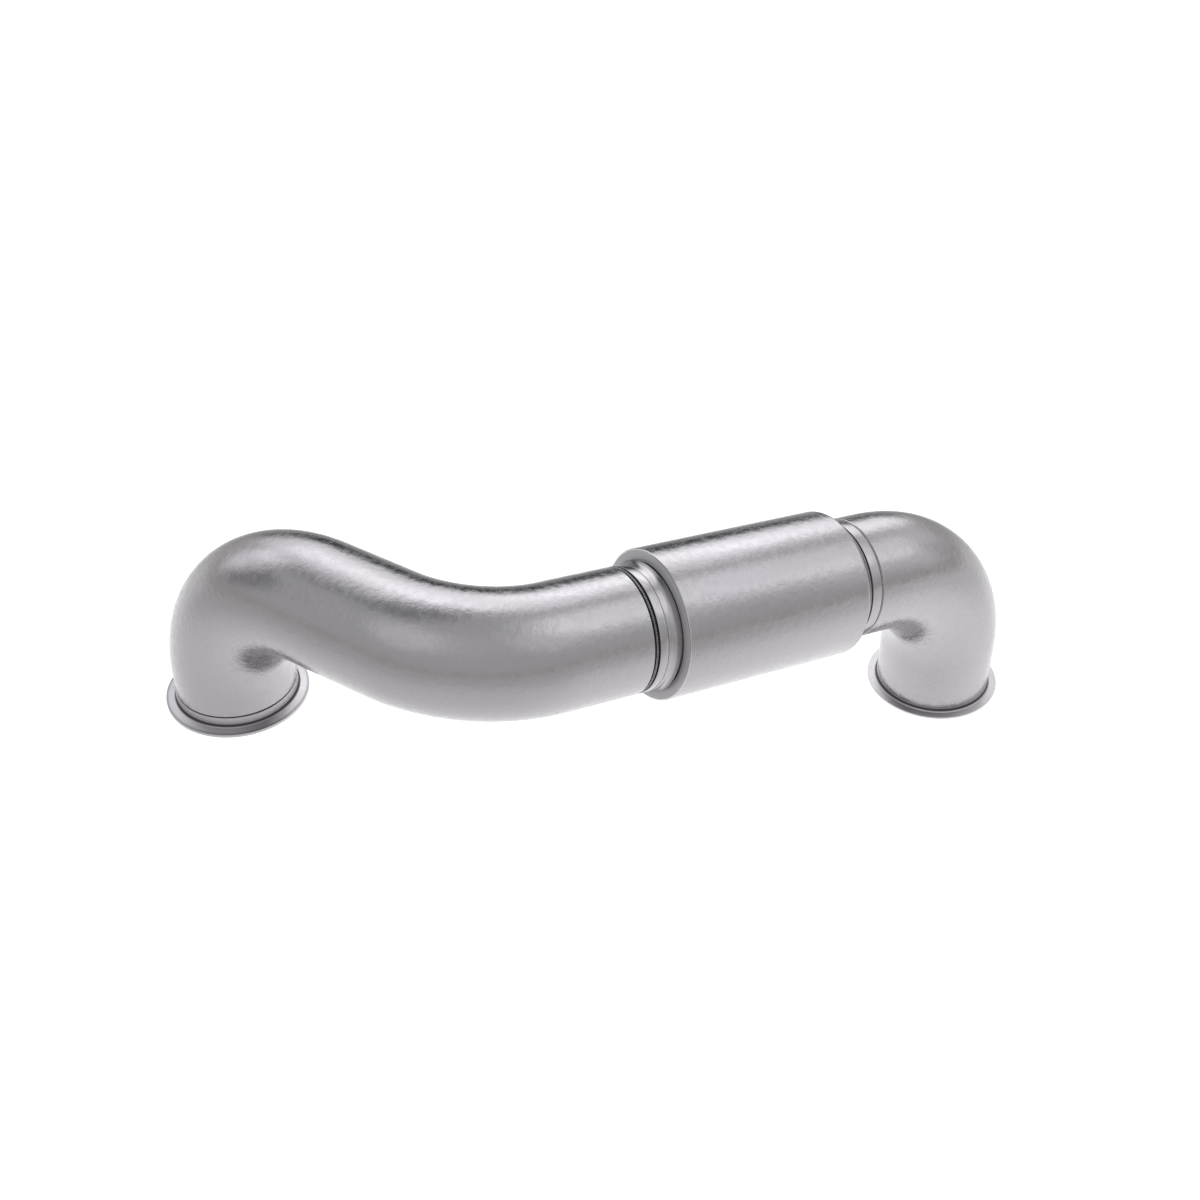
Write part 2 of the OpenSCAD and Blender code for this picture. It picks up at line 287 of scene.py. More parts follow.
def makeClouds():
    # Clouds a few millimetres wide with frosted specks between them
    tree, given, out = shaderGroup("satinClouds", [
        ("Vector", "NodeSocketVector", None), ("Cloud Size", "NodeSocketFloat", 0.006),
        ("Speck Size", "NodeSocketFloat", 0.0012)],
        [("Clouds", "NodeSocketFloat"), ("Specks", "NodeSocketFloat"), ("Height", "NodeSocketFloat")])
    cloudScale = calc(tree, "DIVIDE", 1.0, given.outputs["Cloud Size"])
    speckScale = calc(tree, "DIVIDE", 1.0, given.outputs["Speck Size"])
    vector = given.outputs["Vector"]
    warp = addNode(tree, "ShaderNodeTexNoise", {"Vector": vector, "Scale": cloudScale, "Detail": haze["warpDetail"]})
    centred = vectorCalc(tree, "SUBTRACT", warp.outputs["Color"], (0.5, 0.5, 0.5))
    shift = addNode(tree, "ShaderNodeVectorMath", {0: centred, "Scale": haze["warp"]}, operation="SCALE")
    bent = vectorCalc(tree, "ADD", shift.outputs[0], vector)
    clouds = addNode(tree, "ShaderNodeTexNoise", {"Vector": bent, "Scale": cloudScale, "Detail": haze["cloudDetail"],
                                                 "Roughness": haze["cloudRoughness"],
                                                 "Lacunarity": haze["lacunarity"]})
    specks = addNode(tree, "ShaderNodeTexNoise", {"Vector": bent, "Scale": speckScale, "Detail": haze["speckDetail"],
                                                 "Roughness": haze["speckRoughness"]})
    soft = rangeMap(tree, clouds.outputs[0], *haze["clouds"])
    frost = calc(tree, "MULTIPLY", rangeMap(tree, specks.outputs[0], *haze["frost"]), soft)
    height = calc(tree, "ADD", clouds.outputs[0], calc(tree, "MULTIPLY", frost, haze["frostHeight"]))
    tree.links.new(soft, out.inputs["Clouds"])
    tree.links.new(frost, out.inputs["Specks"])
    tree.links.new(height, out.inputs["Height"])
    return tree


def makeLathe():
    # Fine turning lines round a frame's axis, closer than the eye can count
    tree, given, out = shaderGroup("latheLines", [
        ("Vector", "NodeSocketVector", None), ("Pitch", "NodeSocketFloat", 0.0005),
        ("Waver", "NodeSocketFloat", 3.0)], [("Lines", "NodeSocketFloat")])
    parts = addNode(tree, "ShaderNodeSeparateXYZ", {0: given.outputs["Vector"]})
    flat = addNode(tree, "ShaderNodeCombineXYZ", {0: parts.outputs[0], 1: parts.outputs[1]})
    radius = vectorCalc(tree, "LENGTH", flat.outputs[0])
    along = calc(tree, "DIVIDE", calc(tree, "ADD", radius, parts.outputs[2]), given.outputs["Pitch"])
    place = addNode(tree, "ShaderNodeCombineXYZ", {0: along, 1: calc(tree, "MULTIPLY", radius,
                                                                     given.outputs["Waver"])})
    lines = addNode(tree, "ShaderNodeTexNoise", {"Vector": place.outputs[0], "Scale": 1.0, "Detail": 3.0,
                                                "Roughness": 0.6})
    tree.links.new(lines.outputs[0], out.inputs["Lines"])
    return tree


def makeEdges():
    # Edges rubbed brighter, from the mesh's own sharpness
    tree, given, out = shaderGroup("rubbedEdges", [
        ("Amount", "NodeSocketFloat", 0.5), ("Blunt", "NodeSocketFloat", 0.52), ("Sharp", "NodeSocketFloat", 0.62)],
        [("Edge", "NodeSocketFloat")])
    sharpness = addNode(tree, "ShaderNodeNewGeometry").outputs["Pointiness"]
    edge = rangeMap(tree, sharpness, given.outputs["Blunt"], given.outputs["Sharp"])
    tree.links.new(calc(tree, "MULTIPLY", edge, given.outputs["Amount"]), out.inputs["Edge"])
    return tree


def makeBand():
    # A soft-edged band at one height, full within an inner share of its reach
    tree, given, out = shaderGroup("heightBand", [
        ("Height", "NodeSocketFloat", 0.0), ("Centre", "NodeSocketFloat", 0.0), ("Reach", "NodeSocketFloat", 1.0),
        ("Inner", "NodeSocketFloat", 0.4), ("Strength", "NodeSocketFloat", 1.0)], [("Band", "NodeSocketFloat")])
    away = calc(tree, "ABSOLUTE", calc(tree, "SUBTRACT", given.outputs["Height"], given.outputs["Centre"]))
    inner = calc(tree, "MULTIPLY", given.outputs["Reach"], given.outputs["Inner"])
    band = rangeMap(tree, away, inner, given.outputs["Reach"], given.outputs["Strength"], 0.0)
    tree.links.new(band, out.inputs["Band"])
    return tree


satinClouds, latheLines, rubbedEdges, heightBand = makeClouds(), makeLathe(), makeEdges(), makeBand()


def localVector(tree, m=None):
    # Object coordinates, in a piece's own frame if one is given
    vector = addNode(tree, "ShaderNodeTexCoord").outputs["Object"]
    if m is None:
        return vector
    place, spin, _ = Matrix(np.linalg.inv(inMetres(m)).tolist()).decompose()
    return addNode(tree, "ShaderNodeMapping", {"Vector": vector, "Location": place,
                                              "Rotation": spin.to_euler("XYZ")}).outputs[0]


def mixed(tree, share, first, second):
    # Sockets 6 and 7 are the mix node's two colours
    return addNode(tree, "ShaderNodeMix", {0: share, 6: first, 7: second}, data_type="RGBA").outputs[2]


# What all the steel has in common, with the tints of its painted shade and painted highlight; the depths are in
# metres
wear = {"rubbedAndHighlightTint": (0.72, 0.71, 0.72, 1), "paintedShadeTint": (0.035, 0.034, 0.036, 1), "stainScale": 14.0,
        "stain": (0.4, 0.7), "speckBright": 0.06, "cloudRough": 0.1, "speckRough": 0.06, "edgeSmooth": 0.08,
        "highlightInner": 0.4, "highlightBright": 0.55, "paintedShadeInner": 0.35, "cloudDepth": 0.001, "latheDepth": 0.0001}


def steel(name, tint, deep, rough, clouds=1.0, lathe=0.0, m=None, cloudSize=0.0055, speckSize=0.0012,
          bump=0.25, rubbed=0.5, metallic=1.0, rims=(), grime=()):
    # Stainless steel, cloudy satin or turned lines or both. The painted highlights (height, reach) are bright bands
    # of painted highlight and the painted shade (height, reach, strength) dark bands of painted shade, in millimetres
    # along the piece's own axis
    material, tree, out = newMaterial(name)
    shader = addNode(tree, "ShaderNodeBsdfPrincipled", {"Metallic": metallic})
    vector = localVector(tree, m)
    satin = fill(tree, satinClouds, {"Vector": vector, "Cloud Size": cloudSize, "Speck Size": speckSize})
    edge = fill(tree, rubbedEdges, {"Amount": rubbed}).outputs[0]
    height = addNode(tree, "ShaderNodeSeparateXYZ", {0: vector}).outputs[2]
    # Bright bands of painted highlight along the piece's own axis
    for centre, reach in rims:
        band = fill(tree, heightBand, {"Height": height, "Centre": centre * mm, "Reach": reach * mm,
                                       "Inner": wear["highlightInner"], "Strength": wear["highlightBright"]})
        edge = calc(tree, "MAXIMUM", edge, band.outputs[0])
    stain = addNode(tree, "ShaderNodeTexNoise", {"Vector": vector, "Scale": wear["stainScale"], "Detail": 3.0})
    colour = mixed(tree, rangeMap(tree, stain.outputs[0], *wear["stain"]), (*tint, 1), (*deep, 1))
    sparkle = calc(tree, "MULTIPLY", satin.outputs["Specks"], wear["speckBright"] * clouds * rubbed)
    # edge holds the rubbed edges and the painted highlight bands; with the specks they lighten the colour towards one
    # tint
    colour = mixed(tree, calc(tree, "ADD", edge, sparkle, clamp=True), colour, wear["rubbedAndHighlightTint"])
    # Dark bands of painted shade along the piece's own axis
    for centre, reach, strength in grime:
        band = fill(tree, heightBand, {"Height": height, "Centre": centre * mm, "Reach": reach * mm,
                                       "Inner": wear["paintedShadeInner"], "Strength": strength})
        colour = mixed(tree, band.outputs[0], colour, wear["paintedShadeTint"])
    tree.links.new(colour, shader.inputs["Base Color"])
    cloudy = calc(tree, "MULTIPLY", satin.outputs["Clouds"], wear["cloudRough"] * clouds)
    speckled = calc(tree, "MULTIPLY", satin.outputs["Specks"], wear["speckRough"] * clouds)
    roughness = calc(tree, "ADD", calc(tree, "ADD", rough, cloudy), speckled)
    roughness = calc(tree, "SUBTRACT", roughness, calc(tree, "MULTIPLY", edge, wear["edgeSmooth"]), clamp=True)
    tree.links.new(roughness, shader.inputs["Roughness"])
    normal = addNode(tree, "ShaderNodeBump", {"Height": satin.outputs["Height"], "Strength": bump * clouds,
                                             "Distance": wear["cloudDepth"]}).outputs[0]
    if lathe:
        lines = fill(tree, latheLines, {"Vector": vector})
        normal = addNode(tree, "ShaderNodeBump", {"Height": lines.outputs[0], "Strength": lathe, "Normal": normal,
                                                 "Distance": wear["latheDepth"]}).outputs[0]
    tree.links.new(normal, shader.inputs["Normal"])
    tree.links.new(shader.outputs[0], out.inputs["Surface"])
    return material


satin = {"tint": (0.44, 0.423, 0.44), "deep": (0.43, 0.415, 0.425), "rough": 0.18}
pipeSteel = steel("pipeSteel", **satin)
# The sleeve's bright band at its front lip is a painted highlight, and its dark band at the nose is painted shade
sleeveSteel = steel("sleeveSteel", m=joint, rims=((sleeveStart + 0.2, 0.7),), grime=((noseEnd, 1.1, 0.8),), **satin)
# The joint's dark bands are painted shade: at the collar's flared end by the gap, and on the outlet cuff beside the
# sleeve's weld
jointSteel = steel("jointSteel", (0.44, 0.423, 0.435), (0.42, 0.407, 0.415), 0.17, clouds=0.35, lathe=0.25,
                   m=joint, grime=((collarEnd, 3.4, 0.5), (noseEnd + 0.8, 1.9, 0.85)))
turnedSteel = {"tint": (0.56, 0.54, 0.56), "deep": (0.52, 0.5, 0.515), "rough": 0.4, "clouds": 0.3,
               "lathe": 0.4, "rubbed": 0.2}
# The flanges' dark bands are painted shade: one in each cove, and a thin line at the inlet rim's crease
inletFlangeSteel = steel("inletFlangeSteel", m=start, grime=((5.9, 1.8, 0.92), (2.9, 0.4, 0.35)), **turnedSteel)
outletFlangeSteel = steel("outletFlangeSteel", m=faced(outletFace), grime=((4.0, 1.8, 0.92),), **turnedSteel)
bellowsSteel = steel("bellowsSteel", (0.44, 0.42, 0.42), (0.4, 0.38, 0.36), 0.2, clouds=0.4, lathe=0.3,
                     m=joint, rubbed=0.0)
ringSteel = steel("ringSteel", (0.63, 0.612, 0.63), (0.6, 0.583, 0.6), 0.5, clouds=0.3, lathe=0.3, m=joint,
                  metallic=0.3)
linerSteel = steel("linerSteel", (0.42, 0.4, 0.39), (0.35, 0.33, 0.3), 0.3, clouds=0.6, m=joint)
welded = {"clouds": 0.5, "cloudSize": 0.002, "speckSize": 0.0006, "bump": 0.3, "rubbed": 0.0}
fineWeldMetal = steel("fineWeldMetal", (0.3, 0.29, 0.3), (0.22, 0.212, 0.22), 0.3, m=joint, **welded)
# The seam metals are near black: the seams' own dark and painted shade of the grooves and gaps they fill
fineSeamMetal = steel("fineSeamMetal", (0.1, 0.096, 0.1), (0.08, 0.077, 0.08), 0.4, m=joint, **welded)
weldMetal = steel("weldMetal", (0.3, 0.29, 0.3), (0.18, 0.174, 0.18), 0.35, m=joint, **welded)
# Near black: the seam's own dark and painted shade of the groove
seamMetal = steel("seamMetal", (0.03, 0.029, 0.03), (0.022, 0.021, 0.022), 0.5, **welded)

# Bent pipes
print("pipes")
flangeHeight = {"inlet": 13.4, "outlet": 6.0}
flangeWeld = {"width": 0.9, "radius": 50.4}
pipeStart = flangeHeight["inlet"] + flangeWeld["width"]
inletRings = stations(feed(start, pipeStart), [
    ("feed", route["inletLeg"] - pipeStart), ("bend", route["bendOne"]), ("feed", route["middleLeg"]),
    ("turn", route["planeTurn"]), ("bend", route["bendTwo"]), ("feed", route["jointLeg"])])
outletRings = stations(afterJoint, [("feed", route["outletRun"]), ("bend", bendThree),
                                    ("feed", route["outletLeg"] - flangeHeight["outlet"])])
dress(tube("inletPipe", inletRings), "inlet_side", "pipe_steel", ["inlet_pipe"], pipeSteel)
dress(tube("outletPipe", outletRings), "outlet_side", "pipe_steel", ["outlet_pipe"], pipeSteel)


# Clamp flanges
print("flanges")


def flangeOutline(bore, rim, edge, root, rootRadius, neck, cove, height, lip):
    run = rootRadius - neck
    coveRadius = (run * run + cove * cove) / (2 * run)
    sweep = 2 * math.degrees(math.atan(run / cove))
    return ([(bore, 0), (rim, 0), (rim, edge)]
            + arc(neck + coveRadius, root + cove, coveRadius, 180 + sweep, 180)
            + [(neck, height - lip), (neck - lip, height), (bore, height)])


flangeEase = {"inlet": 0.3, "outlet": 0.25}
inletFlange = {"bore": 48.65, "rim": 60.1, "edge": 2.8, "root": 4.2, "rootRadius": 53.1,
               "neck": 51.5, "cove": 3.6, "height": flangeHeight["inlet"], "lip": 0.4}
outletFlange = {"bore": 48.65, "rim": 58.8, "edge": 1.7, "root": 1.8, "rootRadius": 52.5,
                "neck": 50.8, "cove": 4.0, "height": flangeHeight["outlet"], "lip": 0.01}
dress(turned("inletFlange", eased(flangeOutline(**inletFlange), flangeEase["inlet"]), start), "inlet_side",
      "flange_steel", ["inlet_flange"], inletFlangeSteel)
dress(turned("outletFlange", eased(flangeOutline(**outletFlange), flangeEase["outlet"]), faced(outletFace)),
      "outlet_side", "flange_steel", ["outlet_flange"], outletFlangeSteel)

# Bellows joint
print("joint")
pipeR, boreR = route["outer"], route["bore"]
seatR = pipeR - flex["cuffStep"]  # where the bellows' necks sit
cuffBoreR = seatR - flex["cuffWall"]
sleeveR = pipeR + flex["sleeveRise"]
sleeveBoreR = sleeveR - flex["wall"]
neckOuterR = flex["neck"] + flex["bellowsWall"]
neckStart = collarStart + flex["neckLap"]
linerStart = flex["weld"] + flex["linerInset"]
linerOuterR = cuffBoreR - flex["linerGap"]
linerEnd = noseEnd - flex["linerShort"]
cuffEnd = collarStart - flex["seam"]  # the open seam between the cuff and the collar
collarRun = flex["collar"] - flex["collarFlat"]
flareR = (collarRun ** 2 + flex["collarRise"] ** 2) / (2 * flex["collarRise"])
flareInR = flareR + flex["collarWall"]
flareSweep = 2 * math.degrees(math.atan(flex["collarRise"] / collarRun))
rimSweep = math.degrees(math.asin(collarRun / flareInR))
neckSweep = math.degrees(math.acos((flareR + pipeR - neckOuterR) / flareInR))
flareStart = collarStart + flex["collarFlat"]
noseSlope = math.degrees(math.atan((flex["sleeveRise"] - flex["wall"]) / (flex["nose"] - flex["noseLand"])))
noseTangent = flex["shoulder"] * math.tan(math.radians(noseSlope / 2))
edgeR = flex["lip"] * flex["wall"]  # the sleeve's rounded lip, as a share of its wall
ringBoreR, ringInR = flex["ringBore"], sleeveBoreR - flex["wall"]
ringBack = sleeveStart + flex["wall"]
bandBoreR, bandEnd = neckOuterR + flex["bandGap"], outletSeatEnd - flex["bandShort"]
outletLap = outletSeatEnd + flex["cuffLap"]

outlines = {
    "inletCuff": [(boreR, flex["weld"]), (pipeR, flex["weld"]), (pipeR, cuffEnd), (seatR, cuffEnd),
                  (seatR, seatEnd), (cuffBoreR, seatEnd), (cuffBoreR, linerStart),
                  (boreR, linerStart - flex["cuffTaper"])],
    "flaredCollar": [(seatR, neckStart), (seatR, collarStart), (pipeR, collarStart)]
    + arc(pipeR + flareR, flareStart, flareR, 180, 180 - flareSweep)
    + arc(pipeR + flareR, flareStart, flareInR, 180 - rimSweep, 180 - neckSweep)
    + [(neckOuterR, neckStart)],
    "flowLiner": [(cuffBoreR - flex["liner"], linerStart), (cuffBoreR, linerStart),
                  (cuffBoreR, seatEnd - flex["linerTaper"]), (linerOuterR, seatEnd + flex["linerTaper"]),
                  (linerOuterR, linerEnd), (linerOuterR - flex["liner"], linerEnd),
                  (linerOuterR - flex["liner"], seatEnd + flex["linerTaper"]),
                  (cuffBoreR - flex["liner"], seatEnd - flex["linerTaper"])],
    "coverEndRing": [(ringBoreR, sleeveStart), (sleeveBoreR, sleeveStart), (sleeveBoreR, foldsStart),
                     (ringInR, foldsStart), (ringInR, ringBack + flex["ringChamfer"]),
                     (ringInR - flex["ringChamfer"], ringBack), (ringBoreR, ringBack)],
    "coverSleeve": [(sleeveBoreR, sleeveStart)]
    + arc(sleeveR - edgeR, sleeveStart + edgeR, edgeR, -90, 0, steps=6)
    + arc(sleeveR - flex["shoulder"], shoulderStart - noseTangent, flex["shoulder"], 0, noseSlope)
    + [(pipeR + flex["wall"], noseEnd - flex["noseLand"]), (pipeR + flex["wall"], noseEnd), (pipeR, noseEnd),
       (pipeR, noseEnd - flex["noseLand"] - noseTangent / 2), (sleeveBoreR, shoulderStart - noseTangent)],
    "outletBand": [(bandBoreR, outletSeat), (bandBoreR + flex["bandWall"], outletSeat),
                   (bandBoreR + flex["bandWall"], bandEnd), (bandBoreR, bandEnd)],
    "outletCuff": [(cuffBoreR, outletSeat), (seatR, outletSeat), (seatR, outletLap), (pipeR, outletLap),
                   (pipeR, outletCuffEnd), (boreR, outletCuffEnd), (boreR, outletCuffEnd - 2 * flex["cuffTaper"]),
                   (cuffBoreR, outletCuffEnd - 3 * flex["cuffTaper"])],
}
jointPieces = [
    ("inletCuff", "inlet_side", "joint_steel", "inlet_cuff", jointSteel, 0.3),
    ("flaredCollar", "inlet_side", "joint_steel", "flared_collar", jointSteel, 0.2),
    ("flowLiner", "inlet_side", "liner_steel", "flow_liner", linerSteel, 0.25),
    ("coverEndRing", "outlet_side", "sleeve_steel", "cover_end_ring", ringSteel, 0.2),
    ("coverSleeve", "outlet_side", "sleeve_steel", "cover_sleeve", sleeveSteel, 0.3),
    ("outletBand", "outlet_side", "joint_steel", "outlet_band", jointSteel, 0.25),
    ("outletCuff", "outlet_side", "joint_steel", "outlet_cuff", jointSteel, 0.3),
]
for name, body, slot, node, material, ease in jointPieces:
    dress(turned(name, eased(outlines[name], ease), joint), body, slot, [node], material)


# The bellows' wall, from neck to neck
fold = {"rootSteps": 6, "crestSteps": 12, "around": 180}


def bellowsSide(side):
    half = side * flex["bellowsWall"] / 2
    middle = flex["neck"] + flex["bellowsWall"] / 2
    pitch = (foldsEnd - foldsStart) / flex["folds"]
    foldR = pitch / 4
    root, top = middle + foldR, sleeveBoreR - flex["crestGap"] - flex["bellowsWall"] / 2 - foldR
    line = [(middle + half, neckStart)]
    for i in range(flex["folds"]):
        s = foldsStart + i * pitch
        line += (arc(root, s, foldR - half, 180, 90, fold["rootSteps"])
                 + arc(top, s + pitch / 2, foldR + half, -90, 90, fold["crestSteps"])
                 + arc(root, s + pitch, foldR - half, 270, 180, fold["rootSteps"]))
    return line + [(middle + half, outletSeatEnd)]


bellows = turned("bellows", bellowsSide(1) + bellowsSide(-1)[::-1], joint, fold["around"])
bellows.data.materials.append(bellowsSteel)
Vector((feed(joint, foldsStart)[:3, 3] * mm).tolist())
Vector((feed(joint, foldsEnd)[:3, 3] * mm).tolist())
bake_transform(bellows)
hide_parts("bellows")

# Welds
print("welds")


def geometryGroup(name, inputs):
    tree = bpy.data.node_groups.new(name, "GeometryNodeTree")
    tree.interface.new_socket(name="Geometry", in_out="INPUT", socket_type="NodeSocketGeometry")
    for label, kind in inputs:
        tree.interface.new_socket(name=label, in_out="INPUT", socket_type=kind)
    tree.interface.new_socket(name="Geometry", in_out="OUTPUT", socket_type="NodeSocketGeometry")
    return tree, tree.nodes.new("NodeGroupInput"), tree.nodes.new("NodeGroupOutput")


ripple = {"Segments": 14, "Rings": 8, "Radius": 1.0}  # one scale of a bead
rippleSizes = {0: (0.88, 0.9, 0.8), 1: (1.1, 1.08, 1.05)}  # how far its size strays


def makeRipples():
    # Overlapping scales round a ring, joined to the bead that they lie on
    tree, given, out = geometryGroup("weldRipples", [
        ("Radius", "NodeSocketFloat"), ("Count", "NodeSocketInt"), ("Scale Size", "NodeSocketVector"),
        ("Lean", "NodeSocketFloat"), ("Seed", "NodeSocketInt"), ("Metal", "NodeSocketMaterial")])
    ring = addNode(tree, "GeometryNodeCurvePrimitiveCircle", {"Radius": given.outputs["Radius"],
                                                             "Resolution": given.outputs["Count"]})
    points = addNode(tree, "GeometryNodeCurveToPoints", {"Curve": ring.outputs["Curve"]}, mode="EVALUATED")
    scale = addNode(tree, "GeometryNodeMeshUVSphere", ripple)
    smooth = addNode(tree, "GeometryNodeSetShadeSmooth", {"Geometry": scale.outputs["Mesh"]})
    jitter = addNode(tree, "FunctionNodeRandomValue", {**rippleSizes, "Seed": given.outputs["Seed"]},
                     data_type="FLOAT_VECTOR")
    size = vectorCalc(tree, "MULTIPLY", jitter.outputs[0], given.outputs["Scale Size"])
    lean = addNode(tree, "ShaderNodeCombineXYZ", {0: given.outputs["Lean"]})
    euler = addNode(tree, "FunctionNodeEulerToRotation", {0: lean.outputs[0]})
    tilt = addNode(tree, "FunctionNodeRotateRotation", {0: points.outputs["Rotation"], 1: euler.outputs[0]},
                   rotation_space="LOCAL")
    placed = addNode(tree, "GeometryNodeInstanceOnPoints", {
        "Points": points.outputs["Points"], "Instance": smooth.outputs[0], "Rotation": tilt.outputs[0],
        "Scale": size})
    real = addNode(tree, "GeometryNodeRealizeInstances", {"Geometry": placed.outputs[0]})
    joined = addNode(tree, "GeometryNodeJoinGeometry")
    coloured = addNode(tree, "GeometryNodeSetMaterial", {"Geometry": real.outputs[0],
                                                        "Material": given.outputs["Metal"]})
    tree.links.new(coloured.outputs[0], joined.inputs[0])
    tree.links.new(given.outputs["Geometry"], joined.inputs[0])
    tree.links.new(joined.outputs[0], out.inputs["Geometry"])
    return tree


weldRipples = makeRipples()


def settle(obj, group, values, m):
    # The node group's result as the object's own plain mesh, moved into a frame
    modifier = obj.modifiers.new(group.name, "NODES")
    modifier.node_group = group
    sockets = {s.name: s.identifier for s in group.interface.items_tree
               if s.item_type == "SOCKET" and s.in_out == "INPUT"}
    for key, value in values.items():
        modifier[sockets[key]] = value
    bpy.context.view_layer.update()
    result = bpy.data.meshes.new_from_object(obj.evaluated_get(bpy.context.evaluated_depsgraph_get()))
    obj.modifiers.clear()
    old, obj.data = obj.data, result
    bpy.data.meshes.remove(old)
    obj.data.transform(Matrix(inMetres(m).tolist()))
    return obj


def weldRing(name, base, scales, metals, body, node, m):
    # A ring of near-black seam metal, the seam's own dark and painted shade of its groove, with lighter scales on it
    ring = turned(name, base, np.eye(4))
    ring.data.materials.append(metals[0])
    values = {"Radius": scales["radius"] * mm, "Count": scales["count"], "Lean": scales["lean"],
              "Seed": scales["seed"], "Metal": metals[1], "Scale Size": tuple(v * mm for v in scales["size"])}
    ring.data.transform(Matrix.Translation((0, 0, -scales["height"] * mm)))
    settle(ring, weldRipples, values, feed(m, scales["height"]))
    return dress(ring, body, "weld_metal", [node])


def grooveBase(width, bead):
    return [(boreR, 0), (pipeR - bead, 0), (pipeR - bead, width), (boreR, width)]


beadShare = 0.23  # how far a bead lies below the pipe's skin, as a share of its width
inletBead, outletBead = flex["weld"] * beadShare, flex["outletWeld"] * beadShare
inletScales = {"radius": pipeR - inletBead, "height": flex["weld"] / 2, "count": 160, "lean": 0.6, "seed": 3,
               "size": (inletBead * 0.98, inletBead * 1.1, 1.15)}
outletScales = {"radius": pipeR - outletBead, "height": flex["outletWeld"] / 2, "count": 260, "lean": 0.6,
                "seed": 7, "size": (outletBead * 0.98, outletBead * 1.3, 1.0)}
# The sleeve's fillet ends shy of the sleeve's skin, and its waist and scales stand at shares of its length
fillet = {"shy": 0.1, "waistR": 0.6, "waistShare": 0.4, "scaleRise": 0.4, "scaleShare": 0.34}
filletTop = flex["wall"] - fillet["shy"]
filletBase = [(pipeR, 0), (pipeR + filletTop, 0),
              (pipeR + fillet["waistR"] * filletTop, fillet["waistShare"] * flex["sleeveWeld"]),
              (pipeR, flex["sleeveWeld"])]
sleeveScales = {"radius": pipeR + fillet["scaleRise"], "height": fillet["scaleShare"] * flex["sleeveWeld"],
                "count": 200, "lean": 0.6, "seed": 5, "size": (0.85, 0.85, 1.3)}
weldRing("inletJointWeld", grooveBase(flex["weld"], inletBead), inletScales, (seamMetal, weldMetal),
         "inlet_side", "inlet_joint_weld", joint)
weldRing("outletJointWeld", grooveBase(flex["outletWeld"], outletBead), outletScales,
         (fineSeamMetal, fineWeldMetal), "outlet_side", "outlet_joint_weld", feed(joint, outletCuffEnd))
# The sleeve's fillet and its scales are all near-black seam metal: the weld's own dark and painted shade of the gap
# at the sleeve's nose
weldRing("sleeveWeld", filletBase, sleeveScales, (seamMetal, seamMetal), "outlet_side", "sleeve_weld",
         feed(joint, noseEnd))
# A thin ring of dark seam metal: the seam's own dark and painted shade of the groove between pipe and flange
seam = [(boreR, 0), (flangeWeld["radius"], 0), (flangeWeld["radius"], flangeWeld["width"]),
        (boreR, flangeWeld["width"])]
dress(turned("inletFlangeWeld", seam, feed(start, flangeHeight["inlet"])), "inlet_side", "weld_metal",
      ["inlet_flange_weld"], fineSeamMetal)

# Camera, at the photo's viewing angle
print("camera and studio")
view = {"place": (-0.2923, -1.09398, 0.94594), "yaw": -30.8053, "pitch": 37.9556, "roll": -0.2048,
        "lens": 50.57, "sensor": 36}
yaw, pitch, roll = (math.radians(view[k]) for k in ("yaw", "pitch", "roll"))
ahead = Vector((-math.sin(yaw) * math.cos(pitch), math.cos(yaw) * math.cos(pitch), -math.sin(pitch)))
level = Vector((math.cos(yaw), math.sin(yaw), 0))
above = level.cross(ahead)
right = math.cos(roll) * level + math.sin(roll) * above
up = -math.sin(roll) * level + math.cos(roll) * above
cameraData = bpy.data.cameras.new("camera")
cameraData.lens = view["lens"]
cameraData.sensor_width = view["sensor"]
camera = bpy.data.objects.new("camera", cameraData)
camera.matrix_world = Matrix(((right.x, up.x, -ahead.x, view["place"][0]),
                              (right.y, up.y, -ahead.y, view["place"][1]),
                              (right.z, up.z, -ahead.z, view["place"][2]), (0, 0, 0, 1)))
bpy.context.scene.collection.objects.link(camera)
bpy.context.scene.camera = camera

# Tent: a dome of soft light round the pipe that the camera doesn't see. Each softbox has an azimuth from +Y
# towards +X, an elevation and a radius, all in degrees, and a strength; those below nought are black cards
tent = {"centre": Vector((0.29, -0.12, 0.06)), "radius": 8.0, "shell": 0.08, "foot": -4, "steps": 47,
        "around": 96, "level": 0.63, "darkest": 0.05, "skyTint": (0.99, 1, 1.025, 1),
        "line": 0.03, "lineReach": 0.14, "lineShare": 0.12, "lineTint": (1, 0.95, 0.88, 1)}
softboxes = [
    (42, 46, 22, 0.7), (112, 46, 22, 0.6), (-5, 46, 22, 0.6), (18, 50, 20, 0.5), (48, 24, 18, 1.05),
    (12, 24, 18, 0.45), (-27, 26, 18, 0.56), (118, 24, 18, 0.25), (150, 46, 22, 0.25), (-105, 46, 22, 0.25),
    (35, 4, 16, -0.52), (20, 4, 16, -0.44), (-50, 24, 18, -0.3), (-22, 66, 23, -0.3), (82, 27, 17, 0.25),
    (-142, 50, 22, 0.06), (114, 62, 16, 0.15), (22, 58, 16, 0.12), (22, 24, 13, 0.24)]


def heading(azimuth, elevation=0.0):
    a, e = math.radians(azimuth), math.radians(elevation)
    return math.sin(a) * math.cos(e), math.cos(a) * math.cos(e), math.sin(e)


